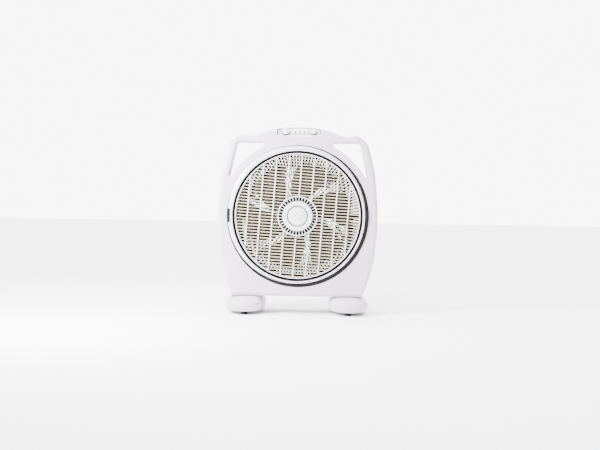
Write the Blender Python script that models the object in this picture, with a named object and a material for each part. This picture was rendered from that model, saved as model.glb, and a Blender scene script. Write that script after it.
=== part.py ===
"""Box fan with a rotating louver: moulded cabinet on two feet, guards, motor, impeller, louver and controls.

The front faces -Y and +Z is up. The origin lies on the floor below the middle of the cabinet.
Sizes are in millimetres and become metres when a mesh is made.
"""

import math

import bmesh
import bpy
from mathutils import Euler, Vector
from mathutils.geometry import tessellate_polygon

MM = 0.001
GAP = 0.3
WALL = 3.0

# Cabinet outline, right half, as points (x, z) that smooth curves pass through
BASE_Z = 50.6
SIDE = [(185, BASE_Z), (200.5, 95), (215.5, 154), (223, 225), (225, 290), (218, 379)]
SHOULDER = [(218, 379), (213, 407), (201, 458), (192, 481), (165, 503), (132, 500), (104, 509)]
CROWN = [(104, 509), (76, 518.5), (40, 525), (0, 527)]
EDGE_ROUND = 10.0

# Handle opening, right side
HOLE_TOP_INNER = (97, 484)
HOLE_TOP_OUTER = (174, 484)
HOLE_TIP = (196, 387)
HOLE_ARC_RADIUS = 217.0

# Air path
CENTRE_Z = 277.0
CENTRE = (0.0, CENTRE_Z)
AXIS = (0.0, 0.0, CENTRE_Z)
OPENING_RADIUS = 198.0
REAR_OPENING_RADIUS = 182.0
DUCT_SIDES = 48

# Depths along Y
FRONT_Y = -62.0
PARTING_Y = -2.0
BARREL_FRONT_Y = PARTING_Y + GAP
BARREL_REAR_Y = 68.0
BACK_PLATE = 8.0
REAR_ROUND = 12.0
HANDLE_COVER_DEPTH = 10.0

# Louver, its ring and the guard behind it
LOUVER_RADIUS = 177.0
LOUVER_Y = (-65.0, -53.0)
LOUVER_TURN = math.radians(3.9)
SLAT_PITCH = 34.0
RIB_PITCH = 70.2
SLAT = 5.0
RIB = 4.0
RING_INNER = 181.0
RING_FACE = 190.0
RING_FLANGE = 197.3
INNER_GUARD_Y = (-51.5, -46.5)
INNER_GUARD_RADIUS = 190.0
HUB_RADIUS = 56.0
GUARD_FINS = 16

# Rear guard
REAR_GUARD_Y = (BARREL_REAR_Y + GAP, BARREL_REAR_Y + GAP + 4.0)
REAR_GUARD_RADIUS = 194.0
GUARD_SCREW_RADIUS = 188.0
MOTOR_SCREW_RADIUS = 34.0

# Motor and impeller
MOTOR_RADIUS = 46.0
MOTOR_FRONT_Y = 17.0
MOTOR_SPLIT_Y = 42.0
MOTOR_WALL = 2.7
SHAFT_RADIUS = 4.0
BLADES = 6
BLADE_TIP = 152.0
BLADE_PHASE = 0.0
BLADE_SWEEP = math.radians(24)
BLADE_HUB = 38.0
BLADE_Y = -5.0
BLADE_HALF_DEPTH = 19.0
BLADE_THICKNESS = 2.4
BLADE_HALF_ANGLE = 25.0
BLADE_FLATTENING = 0.35
BLADE_CAMBER = 3.0

# Control panel, on a slope that leans back from the front face
PANEL_FOOT = (0.0, FRONT_Y, 497.0)
PANEL_LEAN = math.radians(-45)
PANEL_HALF_LENGTH = 61.0
PANEL_HEIGHT = 42.0
PANEL_BOTTOM_RISE = 6.0
PANEL_TOP_DROP = 9.0
PANEL_THICKNESS = 3.0
CONTROL_ROW = 20.0
TIMER_X = -36.0
LOUVER_SWITCH_X = 42.0
KEY_X = {"key_off": -14.0, "key_low": -2.0, "key_medium": 10.0, "key_high": 22.0}
KEY_SIZE = (9.0, 14.0)
KEY_PROUD = 6.0

# Feet
FOOT_X = 146.5
FOOT_SECTIONS = [
    # height, centre x, half width, half depth
    (8.3, 146.5, 40.0, 78.0),
    (11.0, 146.5, 50.0, 88.0),
    (17.0, 146.5, 55.5, 93.5),
    (26.0, 146.5, 57.5, 95.0),
    (34.0, 146.0, 56.0, 93.0),
    (41.0, 145.0, 51.0, 84.0),
    (47.0, 143.0, 46.0, 68.0),
    (BASE_Z - GAP, 141.5, 43.5, 58.0),
]
FOOT_SIDES = 18
FOOT_SQUARENESS = 0.62
HOLE_IN_FOOT = 2.4
PAD_RADIUS = 9.5
PAD_HEIGHT = 8.0
PAD_Y = 66.0
FOOT_SCREW_Y = 30.0

# Places on the back plate, as (x, z)
HOUSING_SCREWS = {
    "housing_screw_lower_left": (-176, 126),
    "housing_screw_lower_right": (176, 126),
    "housing_screw_upper_left": (-68, 492),
    "housing_screw_upper_right": (68, 492),
}
GLAND_AT = (150, 92)

SIDE_SIGN = {"left": -1, "right": 1}

for old in list(bpy.data.objects):
    bpy.data.objects.remove(old)


# ---------------------------------------------------------------- materials


def material(name, colour, roughness, metallic=0.0):
    made = bpy.data.materials.new(name)
    made.use_nodes = True
    shader = made.node_tree.nodes["Principled BSDF"]
    shader.inputs["Base Color"].default_value = (*colour, 1.0)
    shader.inputs["Roughness"].default_value = roughness
    shader.inputs["Metallic"].default_value = metallic
    return made


CABINET = material("cabinet_plastic", (0.82, 0.81, 0.85), 0.35)
LOUVER = material("louver_plastic", (0.80, 0.77, 0.72), 0.40)
DARK = material("black_plastic", (0.02, 0.02, 0.02), 0.45)
BLADE = material("blade_plastic", (0.16, 0.12, 0.09), 0.30)
RUBBER = material("rubber", (0.03, 0.03, 0.03), 0.85)
STEEL = material("steel", (0.62, 0.62, 0.64), 0.35, 1.0)
CASTING = material("motor_casing", (0.45, 0.45, 0.47), 0.50, 1.0)
COPPER = material("copper", (0.80, 0.42, 0.22), 0.35, 1.0)


# ---------------------------------------------------------------- outlines


def smooth(points, steps=3):
    """Catmull-Rom curve through the points, both ends included."""
    knots = [Vector(p) for p in points]
    knots = [2 * knots[0] - knots[1], *knots, 2 * knots[-1] - knots[-2]]
    curve = []
    for a, b, c, d in zip(knots, knots[1:], knots[2:], knots[3:]):
        for step in range(steps):
            t = step / steps
            cubic = 3 * b - a - 3 * c + d
            square = 2 * a - 5 * b + 4 * c - d
            curve.append(0.5 * (2 * b + (c - a) * t + square * t**2 + cubic * t**3))
    return [tuple(p) for p in curve] + [tuple(points[-1])]


def circle(radius, sides, centre=(0.0, 0.0)):
    return arc(radius, 0, 2 * math.pi, sides, centre)[:-1]


def arc(radius, start, end, steps, centre=(0.0, 0.0)):
    """Points on an arc, counter-clockwise from +X when end is above start."""
    angles = [start + (end - start) * i / steps for i in range(steps + 1)]
    return [(centre[0] + radius * math.cos(a), centre[1] + radius * math.sin(a)) for a in angles]


def rounded(corners, steps=4):
    """Closed outline from (x, z, radius) corners."""
    outline = []
    for i, (x, z, radius) in enumerate(corners):
        here = Vector((x, z))
        if radius == 0:
            outline.append((x, z))
            continue
        before = (Vector(corners[i - 1][:2]) - here).normalized()
        after = (Vector(corners[(i + 1) % len(corners)][:2]) - here).normalized()
        half = before.angle(after) / 2
        reach = radius / math.tan(half)
        middle = here + (before + after).normalized() * radius / math.sin(half)
        first = here + before * reach - middle
        last = here + after * reach - middle
        sweep = first.angle_signed(last)
        for step in range(steps + 1):
            turn = -sweep * step / steps
            c, s = math.cos(turn), math.sin(turn)
            outline.append((middle.x + first.x * c - first.y * s, middle.y + first.x * s + first.y * c))
    return outline


def inset(outline, distance):
    """Moves a counter-clockwise outline inwards."""
    moved = []
    for i, point in enumerate(outline):
        here = Vector(point)
        before = (here - Vector(outline[i - 1])).normalized()
        after = (Vector(outline[(i + 1) % len(outline)]) - here).normalized()
        normal_in = Vector((-before.y, before.x)) + Vector((-after.y, after.x))
        scale = distance / max(0.5, 1 + before.dot(after))
        moved.append(tuple(here + normal_in * scale))
    return moved


def mirrored(outline):
    return [(-x, z) for x, z in reversed(outline)]


def both_halves(right_half):
    """Closed outline from its right half, which runs from the bottom up to x = 0."""
    return right_half + mirrored(right_half)[1:]


def handle_inner_edge():
    """Inner edge of the right handle opening, concentric with the air path, from its tip up."""
    tip = math.asin((HOLE_TIP[1] - CENTRE_Z) / HOLE_ARC_RADIUS)
    head = math.acos(HOLE_TOP_INNER[0] / HOLE_ARC_RADIUS)
    return arc(HOLE_ARC_RADIUS, tip, head, 8, (0, CENTRE_Z))


def handle_outer_edge():
    """Outer and top edges of the right handle opening, with rounded corners, from its tip up."""
    edge = handle_inner_edge()
    path = [(*edge[0], 0), (*HOLE_TIP, 3.0), (*HOLE_TOP_OUTER, 8.0), (*HOLE_TOP_INNER, 5.0), (*edge[-1], 0)]
    return rounded(path)[1:-1]


SIDE_CURVE = smooth(SIDE)
SHOULDER_CURVE = smooth(SHOULDER)
CROWN_CURVE = smooth(CROWN)
INNER_EDGE = handle_inner_edge()
HANDLE_HOLE = handle_outer_edge() + INNER_EDGE[::-1]
CABINET_OUTLINE = both_halves(SIDE_CURVE + SHOULDER_CURVE[1:] + CROWN_CURVE[1:])


# The barrel has no handles: its outline passes inside their openings
BARREL_OUTLINE = both_halves(SIDE_CURVE + INNER_EDGE + [HOLE_TOP_INNER] + CROWN_CURVE)


# ---------------------------------------------------------------- meshes


def finish_mesh(bm, name):
    bmesh.ops.recalc_face_normals(bm, faces=bm.faces)
    bmesh.ops.scale(bm, vec=(MM, MM, MM), verts=bm.verts)
    mesh = bpy.data.meshes.new(name)
    bm.to_mesh(mesh)
    bm.free()
    mesh.shade_smooth()
    mesh.set_sharp_from_angle(angle=math.radians(35))
    return mesh


def prism(name, loops, y_from, y_to):
    """Plate between two depths: loops[0] is its (x, z) outline and the rest are holes."""
    bm = bmesh.new()
    flat = [point for loop in loops for point in loop]
    front = [bm.verts.new((x, y_from, z)) for x, z in flat]
    back = [bm.verts.new((x, y_to, z)) for x, z in flat]
    for triangle in tessellate_polygon([[Vector((x, z, 0)) for x, z in loop] for loop in loops]):
        bm.faces.new([front[i] for i in triangle])
        bm.faces.new([back[i] for i in reversed(triangle)])
    first = 0
    for loop in loops:
        count = len(loop)
        for i in range(count):
            j = (i + 1) % count
            bm.faces.new((front[first + i], front[first + j], back[first + j], back[first + i]))
        first += count
    return finish_mesh(bm, name)


def add_rings(bm, rings, closed=False):
    """Skins rings of equal point counts, and caps the ends unless the rings close on themselves."""
    made = [[bm.verts.new(p) for p in ring] for ring in rings]
    pairs = list(zip(made, made[1:])) + ([(made[-1], made[0])] if closed else [])
    for lower, upper in pairs:
        count = len(lower)
        for i in range(count):
            j = (i + 1) % count
            bm.faces.new((lower[i], lower[j], upper[j], upper[i]))
    if not closed:
        for ring in (made[0], made[-1]):
            for triangle in tessellate_polygon([[v.co for v in ring]]):
                bm.faces.new([ring[i] for i in triangle])


def stack(name, rings):
    bm = bmesh.new()
    add_rings(bm, rings)
    return finish_mesh(bm, name)


def turned(name, profile, sides=24):
    """Turns a closed (radius, y) profile about the Y axis. Points at radius 0 become poles."""
    bm = bmesh.new()
    rings = []
    for radius, y in profile:
        if radius == 0:
            rings.append([bm.verts.new((0, y, 0))])
        else:
            rings.append([bm.verts.new((x, y, z)) for x, z in circle(radius, sides)])
    for a, b in zip(rings, rings[1:] + rings[:1]):
        for i in range(sides):
            j = (i + 1) % sides
            corners = [a[i % len(a)], a[j % len(a)], b[j % len(b)], b[i % len(b)]]
            face = [v for k, v in enumerate(corners) if v not in corners[:k]]
            if len(face) > 2:
                bm.faces.new(face)
    return finish_mesh(bm, name)


def pan(name, skin, collars):
    """Thin pan: its skin and each collar are (loop, y) rings that run from its inner face, or to it.

    The skin goes from the inner face over the rim to the outer face. Each collar lines one opening and
    goes back from the outer face to the inner one.
    """
    bm = bmesh.new()
    made = []
    for path in (skin, *collars):
        rings = [[bm.verts.new((x, y, z)) for x, z in loop] for loop, y in path]
        for a, b in zip(rings, rings[1:]):
            for i in range(len(a)):
                j = (i + 1) % len(a)
                bm.faces.new((a[i], a[j], b[j], b[i]))
        made.append(rings)
    outer_face = [made[0][-1]] + [rings[0] for rings in made[1:]]
    inner_face = [made[0][0]] + [rings[-1] for rings in made[1:]]
    for loops in (outer_face, inner_face):
        corners = [v for loop in loops for v in loop]
        flat = [[Vector((v.co.x, v.co.z, 0)) for v in loop] for loop in loops]
        for triangle in tessellate_polygon(flat):
            bm.faces.new([corners[i] for i in triangle])
    return finish_mesh(bm, name)


def tube_profile(inner, outer, y_from, y_to):
    return [(inner, y_from), (outer, y_from), (outer, y_to), (inner, y_to)]


def disc_profile(radius, y_from, y_to):
    return [(0, y_from), (radius, y_from), (radius, y_to), (0, y_to)]


def rectangle(half_x, half_z, centre=(0.0, 0.0)):
    x, z = centre
    corners = ((-1, -1), (1, -1), (1, 1), (-1, 1))
    return [(x + side * half_x, z + end * half_z) for side, end in corners]


def place(mesh, surface, at=(0.0, 0.0, 0.0), turn=(0.0, 0.0, 0.0)):
    made = bpy.data.objects.new(mesh.name, mesh)
    made.data.materials.append(surface)
    made.location = Vector(at) * MM
    made.rotation_euler = Euler(turn)
    bpy.context.scene.collection.objects.link(made)
    return made


def boolean(target, operation, mesh, at=(0.0, 0.0, 0.0), turn=(0.0, 0.0, 0.0)):
    """Cuts or joins a helper shape, which stays out of the model."""
    helper = bpy.data.objects.new("helper_" + mesh.name, mesh)
    helper.location = Vector(at) * MM
    helper.rotation_euler = Euler(turn)
    helper.hide_render = True
    helper.display_type = "WIRE"
    bpy.context.scene.collection.objects.link(helper)
    step = target.modifiers.new(mesh.name, "BOOLEAN")
    step.operation = operation
    step.object = helper


def cut(target, mesh, at=(0.0, 0.0, 0.0), turn=(0.0, 0.0, 0.0)):
    boolean(target, "DIFFERENCE", mesh, at, turn)


def drill(target, name, radius, at, upright=False):
    """Round hole along Y, or along Z when upright, centred on a point."""
    turn = (math.radians(90), 0, 0) if upright else (0, 0, 0)
    cut(target, turned(name, disc_profile(radius, -15, 15), 10), at, turn)


def screw_places(radius, count):
    """Evenly spaced places for screws, as offsets (x, z) from the air path's centre."""
    first = math.radians(50)
    return arc(radius, first, first + 2 * math.pi, count)[:-1]


# ---------------------------------------------------------------- cabinet


def panel_outline(margin):
    """Panel outline in its own plane: long arcs below and above, with straight ends."""
    reach = PANEL_HALF_LENGTH - margin
    xs = [reach * (i / 6 - 1) for i in range(13)]
    low = [(x, margin + PANEL_BOTTOM_RISE * (x / PANEL_HALF_LENGTH) ** 2) for x in xs]
    top = PANEL_HEIGHT - margin
    high = [(x, top - PANEL_TOP_DROP * (x / PANEL_HALF_LENGTH) ** 2) for x in reversed(xs)]
    return low + high


def front_housing():
    """Front shell: face plate, skirt, handle channels and the front half of the air duct."""
    inner_y = FRONT_Y + WALL
    lining = inset(CABINET_OUTLINE, WALL)
    skin = [(inset(CABINET_OUTLINE, WALL + 1), inner_y), (lining, PARTING_Y), (CABINET_OUTLINE, PARTING_Y)]
    for i in range(4):
        angle = math.radians(30 * i)
        edge = inset(CABINET_OUTLINE, EDGE_ROUND * (1 - math.cos(angle)))
        skin.append((edge, FRONT_Y + EDGE_ROUND * (1 - math.sin(angle))))
    collars = []
    for hole in (circle(OPENING_RADIUS, DUCT_SIDES, CENTRE), HANDLE_HOLE, mirrored(HANDLE_HOLE)):
        wide = inset(hole, -WALL)
        collars.append([(hole, FRONT_Y), (hole, PARTING_Y), (wide, PARTING_Y), (wide, inner_y)])
    shell = place(pan("front_housing", skin, collars), CABINET)
    cut(shell, prism("panel_seat", [panel_outline(0)], -60, WALL + 2), PANEL_FOOT, (PANEL_LEAN, 0, 0))
    for side, sign in SIDE_SIGN.items():
        drill(shell, f"front_foot_hole_{side}", 2.4, (sign * FOOT_X, -FOOT_SCREW_Y, BASE_Z), True)


def rear_housing():
    """Rear shell: a deeper barrel that carries the rear guard and closes the air duct."""
    inner_y = BARREL_REAR_Y - BACK_PLATE
    skin = [(inset(BARREL_OUTLINE, WALL + 3), inner_y), (inset(BARREL_OUTLINE, WALL), BARREL_FRONT_Y)]
    for depth, y in [(0, BARREL_FRONT_Y), (0, 44), (2, 58), (6, 65), (REAR_ROUND, BARREL_REAR_Y)]:
        skin.append((inset(BARREL_OUTLINE, depth), y))
    bore = circle(OPENING_RADIUS, DUCT_SIDES, CENTRE)
    duct = inset(bore, -WALL)
    mouth = circle(REAR_OPENING_RADIUS, DUCT_SIDES, CENTRE)
    collars = [
        [
            (mouth, BARREL_REAR_Y), (mouth, inner_y), (bore, inner_y), (bore, BARREL_FRONT_Y),
            (duct, BARREL_FRONT_Y), (duct, inner_y),
        ]
    ]  # fmt: skip
    small_holes = [circle(2.4, 10, at) for at in HOUSING_SCREWS.values()] + [circle(5.9, 16, GLAND_AT)]
    collars += [[(hole, BARREL_REAR_Y), (hole, inner_y)] for hole in small_holes]
    shell = place(pan("rear_housing", skin, collars), CABINET)
    for side, sign in SIDE_SIGN.items():
        drill(shell, f"rear_foot_hole_{side}", 2.4, (sign * FOOT_X, FOOT_SCREW_Y, BASE_Z), True)
    for i, (x, z) in enumerate(screw_places(GUARD_SCREW_RADIUS, 4)):
        drill(shell, f"guard_hole_{i}", 2.3, (x, BARREL_REAR_Y, CENTRE_Z + z))


def handle_covers():
    """Shallow rear halves of the two handles, a little clear of the barrel at both ends."""
    clear = 2 * GAP
    lower_end = (SIDE[-1][0], SIDE[-1][1] + clear)
    upper_end = (CROWN[0][0] + clear, CROWN[0][1])
    outer = [lower_end, *SHOULDER_CURVE[1:-1], upper_end]
    inner = [(x + clear if x < 100 else x, z) for x, z in handle_outer_edge()]
    rear_y = BARREL_FRONT_Y + HANDLE_COVER_DEPTH
    for side, sign in SIDE_SIGN.items():
        loop = outer + inner[::-1]
        if sign < 0:
            loop = mirrored(loop)
        place(prism(f"handle_cover_{side}", [loop], BARREL_FRONT_Y, rear_y), CABINET)


def feet():
    """Hollow flared feet, open at the top where the cabinet stands on them."""
    for side, sign in SIDE_SIGN.items():
        outer = [foot_ring(sign, *section, 0) for section in FOOT_SECTIONS]
        inner = [foot_ring(sign, *section, WALL) for section in reversed(FOOT_SECTIONS[1:])]
        inner[-1] = [(x, y, FOOT_SECTIONS[0][0] + WALL) for x, y, z in inner[-1]]
        foot = place(stack(f"{side}_foot", outer + inner), CABINET)
        for end in (-1, 1):
            at = (sign * FOOT_X, end * FOOT_SCREW_Y, FOOT_SECTIONS[0][0])
            drill(foot, f"{side}_foot_hole_{end}", HOLE_IN_FOOT, at, True)


def foot_ring(sign, height, centre_x, half_x, half_y, margin):
    """Superellipse section of a foot, moved inwards by a margin."""
    ring = []
    for x, y in circle(1.0, FOOT_SIDES):
        wide = math.copysign(abs(x) ** FOOT_SQUARENESS, x) * (half_x - margin)
        deep = math.copysign(abs(y) ** FOOT_SQUARENESS, y) * (half_y - margin)
        ring.append((sign * centre_x + wide, deep, height))
    return ring


def feet_fittings():
    """Rubber pads below the feet, and the screws that hold the feet to the two shells."""
    upright = (math.radians(90), 0, 0)
    pad_profile = [(0, 0), (4.5, 0), (8, 1.6), (PAD_RADIUS, 4), (PAD_RADIUS, PAD_HEIGHT), (0, PAD_HEIGHT)]
    screw_profile = [(0, 0), (4.5, 0), (4.5, -2.4), (2, -3), (2, -50), (0, -52)]
    for side, sign in SIDE_SIGN.items():
        for end, ahead in {"front": -1, "rear": 1}.items():
            pad = turned(f"pad_{end}_{side}", pad_profile, 24)
            place(pad, RUBBER, (sign * FOOT_X, ahead * PAD_Y, 0), upright)
            screw = turned(f"foot_screw_{end}_{side}", [(r, -y) for r, y in screw_profile], 12)
            place(screw, STEEL, (sign * FOOT_X, ahead * FOOT_SCREW_Y, 5.0), upright)


def screw(name, at, shank, head=3.5, radius=1.8):
    """Pan-head screw whose head faces +Y and whose shank runs towards -Y."""
    top = [(0, 2.2), (head - 1, 2.2), (head, 1.2), (head, 0)]
    profile = [*top, (radius, 0), (radius, -shank), (0, -shank - 1)]
    place(turned(name, profile, 12), STEEL, at)


def cabinet_fittings():
    for name, (x, z) in HOUSING_SCREWS.items():
        screw(name, (x, BARREL_REAR_Y + GAP, z), 20)
    gland = [(3.5, 70.3), (8, 70.3), (8, 68.3), (5.6, 68.3), (5.6, 58.0), (3.5, 58.0)]
    place(turned("cord_gland", gland, 24), DARK, (GLAND_AT[0], 0, GLAND_AT[1]))
    place(prism("capacitor", [rectangle(14, 9)], 20, 45), DARK, (-165, 0, 90))


# ---------------------------------------------------------------- grilles


def clip_to_circle(loop, radius, sides=48):
    """Part of a convex loop inside a circle about the origin."""
    for i in range(sides):
        normal = Vector(arc(1.0, 0, 2 * math.pi, sides)[i])
        kept = []
        for a, b in zip(loop, loop[1:] + loop[:1]):
            depth_a = radius - Vector(a).dot(normal)
            depth_b = radius - Vector(b).dot(normal)
            if depth_a >= 0:
                kept.append(a)
            if depth_a * depth_b < 0:
                kept.append(tuple(Vector(a).lerp(Vector(b), depth_a / (depth_a - depth_b))))
        loop = kept
        if len(loop) < 3:
            return []
    return loop


def area(loop):
    return abs(sum(a[0] * b[1] - b[0] * a[1] for a, b in zip(loop, loop[1:] + loop[:1]))) / 2


def louver_cells():
    """Openings between the slats and the upright ribs."""
    cells = []
    rows = int(LOUVER_RADIUS / SLAT_PITCH) + 1
    columns = int(LOUVER_RADIUS / RIB_PITCH) + 1
    for row in range(-rows, rows):
        for column in range(-columns, columns):
            centre = ((column + 0.5) * RIB_PITCH, (row + 0.5) * SLAT_PITCH)
            cell = rectangle((RIB_PITCH - RIB) / 2, (SLAT_PITCH - SLAT) / 2, centre)
            if min(Vector(corner).length for corner in cell) < HUB_RADIUS + 2:
                continue
            cell = clip_to_circle(cell, LOUVER_RADIUS - 4)
            if len(cell) > 2 and area(cell) > 60:
                cells.append(cell)
    return cells


def radial_cells(bands, fins, fin_width):
    """Openings between radial fins, in each (inner, outer) radius band."""
    cells = []
    for inner, outer in bands:
        for i in range(fins):
            start = 2 * math.pi * i / fins
            end = 2 * math.pi * (i + 1) / fins
            near = math.asin(fin_width / 2 / inner)
            far = math.asin(fin_width / 2 / outer)
            cells.append(arc(inner, end - near, start + near, 2) + arc(outer, start + far, end - far, 2))
    return cells


def grilles():
    """Fixed ring with its clips, the guard behind the louver, and the rear guard with its screws."""
    guard_face = INNER_GUARD_Y[0] - GAP
    ring = [
        (RING_INNER, -70), (RING_FACE, -70), (RING_FACE, -58), (RING_FLANGE, -58),
        (RING_FLANGE, -55), (184, -55), (184, guard_face), (RING_INNER, guard_face),
    ]  # fmt: skip
    place(turned("grille_ring", ring, 48), CABINET, AXIS)
    for side, facing in {"right": 0.0, "left": math.pi}.items():
        half = math.radians(5.5)
        low = arc(RING_FACE + GAP, facing - half, facing + half, 6)
        high = arc(RING_FLANGE - GAP, facing + half, facing - half, 6)
        place(prism(f"ring_clip_{side}", [low + high], -64, -58 - GAP), DARK, AXIS)
    rim = circle(INNER_GUARD_RADIUS, 48)
    holes = radial_cells([(32, 118), (122, 184)], GUARD_FINS, 2.0)
    place(prism("inner_guard", [rim, *holes, circle(3.6, 12)], *INNER_GUARD_Y), DARK, AXIS)
    rim = circle(REAR_GUARD_RADIUS, 48)
    holes = radial_cells([(50, 112), (115, 178)], GUARD_FINS, 2.6)
    for radius, count in ((MOTOR_SCREW_RADIUS, 3), (GUARD_SCREW_RADIUS, 4)):
        holes += [circle(2.2, 10, at) for at in screw_places(radius, count)]
    place(prism("rear_guard", [rim, *holes], *REAR_GUARD_Y), DARK, AXIS)
    for i, (x, z) in enumerate(screw_places(GUARD_SCREW_RADIUS, 4)):
        screw(f"guard_screw_{i + 1}", (x, REAR_GUARD_Y[1] + GAP, CENTRE_Z + z), 12)
    for i, (x, z) in enumerate(screw_places(MOTOR_SCREW_RADIUS, 3)):
        screw(f"motor_screw_{i + 1}", (x, REAR_GUARD_Y[1] + GAP, CENTRE_Z + z), 7)


def louver():
    """Rotating louver disc with its hub ring, cap and drive shaft."""
    rim = circle(LOUVER_RADIUS, 64)
    disc = prism("louver_disc", [rim, *louver_cells(), circle(3.4, 16)], *LOUVER_Y)
    place(disc, LOUVER, AXIS, (0, LOUVER_TURN, 0))
    front = LOUVER_Y[0] - GAP
    face = [(30, front - 2.5), (33, front - 4), (39, front - 4), (41.5, front - 2)]
    ring = [(30, front), *face, (41.5, front)]
    place(turned("hub_ring", ring), CABINET, AXIS)
    dome = [(26 * math.cos(a), front - 7 * math.sin(a)) for a in (0, 0.4, 0.8, 1.2)]
    place(turned("hub_cap", [*dome, (0, front - 7), (0, front)]), CABINET, AXIS)
    shaft = [(0, -60), (2, -60), (3, -59), (3, -46.6), (0, -46.6)]
    place(turned("louver_shaft", shaft, 16), STEEL, AXIS)
    motor = [(0, -46.2), (22, -46.2), (24, -44.5), (24, -35.5), (22, -34), (0, -34)]
    place(turned("louver_motor", motor, 32), CASTING, AXIS)


# ---------------------------------------------------------------- motor and impeller


def blade_mesh(name, first_angle):
    """One swept, twisted blade, as a closed sheet of even thickness."""
    stations = 5
    chords = 4
    bm = bmesh.new()
    rings = []
    for s in range(stations + 1):
        along = s / stations
        radius = BLADE_HUB - 4 + (BLADE_TIP - BLADE_HUB + 4) * along
        half = math.radians(BLADE_HALF_ANGLE - along - 7 * along**8)
        middle = first_angle + BLADE_SWEEP * along
        front = []
        back = []
        for c in range(chords + 1):
            across = 2 * c / chords - 1
            angle = middle + half * across
            pitch = BLADE_HALF_DEPTH * across * (1 - BLADE_FLATTENING * along)
            depth = BLADE_Y + pitch + BLADE_CAMBER * (1 - across**2)
            x, z = radius * math.sin(angle), radius * math.cos(angle)
            front.append((x, depth - BLADE_THICKNESS / 2, z))
            back.append((x, depth + BLADE_THICKNESS / 2, z))
        rings.append(front + back[::-1])
    made = [[bm.verts.new(p) for p in ring] for ring in rings]
    count = len(made[0])
    for a, b in zip(made, made[1:]):
        for i in range(count):
            j = (i + 1) % count
            bm.faces.new((a[i], a[j], b[j], b[i]))
    for end in (made[0], made[-1]):
        for i in range(chords):
            bm.faces.new((end[i], end[i + 1], end[count - 2 - i], end[count - 1 - i]))
    return finish_mesh(bm, name)


def impeller():
    hub = [
        (4.3, -24), (30, -24), (BLADE_HUB, -19), (BLADE_HUB, 13), (BLADE_HUB - 2.5, 13),
        (BLADE_HUB - 2.5, -18), (29, -21), (9, -21), (9, 8), (4.3, 8),
    ]  # fmt: skip
    fan = place(turned("fan_blade", hub), BLADE, AXIS)
    for i in range(BLADES):
        boolean(fan, "UNION", blade_mesh(f"blade_{i}", BLADE_PHASE + 2 * math.pi * i / BLADES), AXIS)
    cut(fan, turned("hub_hollow", [(9, -21), (29, -21), (35.5, -18), (35.5, 30), (9, 30)]), AXIS)
    nut = [(4.3, -24.3), (12, -24.3), (12, -27), (8, -33), (0, -33), (0, -30.6), (4.3, -30.6)]
    place(turned("blade_nut", nut, 24), DARK, AXIS)
    shaft = [(0, -30), (3, -30), (SHAFT_RADIUS, -29), (SHAFT_RADIUS, 61), (0, 61)]
    place(turned("motor_shaft", shaft, 24), STEEL, AXIS)


def motor():
    inner = MOTOR_RADIUS - MOTOR_WALL
    front = [
        (4.6, MOTOR_FRONT_Y), (30, MOTOR_FRONT_Y), (MOTOR_RADIUS, MOTOR_FRONT_Y + 8),
        (MOTOR_RADIUS, MOTOR_SPLIT_Y - GAP), (inner, MOTOR_SPLIT_Y - GAP), (inner, MOTOR_FRONT_Y + 9.5),
        (29, MOTOR_FRONT_Y + 3), (10, MOTOR_FRONT_Y + 3), (4.6, MOTOR_FRONT_Y + 3),
    ]  # fmt: skip
    place(turned("motor_front_cover", front), CASTING, AXIS)
    rear = [
        (0, BARREL_REAR_Y), (MOTOR_RADIUS - 4, BARREL_REAR_Y), (MOTOR_RADIUS, BARREL_REAR_Y - 6),
        (MOTOR_RADIUS, MOTOR_SPLIT_Y), (inner, MOTOR_SPLIT_Y), (inner, BARREL_REAR_Y - 7),
        (41, BARREL_REAR_Y - 4), (0, BARREL_REAR_Y - 4),
    ]  # fmt: skip
    cover = place(turned("motor_rear_cover", rear), CASTING, AXIS)
    for i, (x, z) in enumerate(screw_places(MOTOR_SCREW_RADIUS, 3)):
        drill(cover, f"motor_hole_{i}", 2.3, (x, BARREL_REAR_Y, CENTRE_Z + z))
    place(turned("stator_core", tube_profile(26.2, 43, 32, 52)), STEEL, AXIS)
    place(turned("winding_front", tube_profile(28, 39, 27, 31.7), 32), COPPER, AXIS)
    place(turned("winding_rear", tube_profile(28, 39, 52.3, 57), 32), COPPER, AXIS)
    place(turned("rotor_core", tube_profile(SHAFT_RADIUS + GAP, 25.6, 30, 54)), STEEL, AXIS)
    place(turned("front_bearing", tube_profile(SHAFT_RADIUS + GAP, 9, 20.5, 27), 24), STEEL, AXIS)
    place(turned("rear_bearing", tube_profile(SHAFT_RADIUS + GAP, 9, 56, 62), 24), STEEL, AXIS)


# ---------------------------------------------------------------- controls


def on_panel(x, up, depth=0.0):
    """World point for a place on the sloping panel; depth runs into the cabinet."""
    local = Vector((x, depth, up))
    local.rotate(Euler((PANEL_LEAN, 0, 0)))
    return tuple(Vector(PANEL_FOOT) + local)


def panel_piece(mesh, surface, x=0.0, up=0.0, depth=0.0):
    return place(mesh, surface, on_panel(x, up, depth), (PANEL_LEAN, 0, 0))


def knob(name, x, radius, height):
    """Turn knob with a raised grip and a stem that passes through the panel."""
    profile = [
        (0, -height), (radius - 1.5, -height), (radius, -height + 2), (radius, -0.5),
        (3, -0.5), (3, 8), (0, 8),
    ]  # fmt: skip
    made = panel_piece(turned(name, profile, 32), CABINET, x, CONTROL_ROW)
    grip = prism(name + "_grip", [rectangle(1.6, radius - 2)], -height - 3, -height + 2)
    boolean(made, "UNION", grip, on_panel(x, CONTROL_ROW), (PANEL_LEAN, 0, 0))


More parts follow.
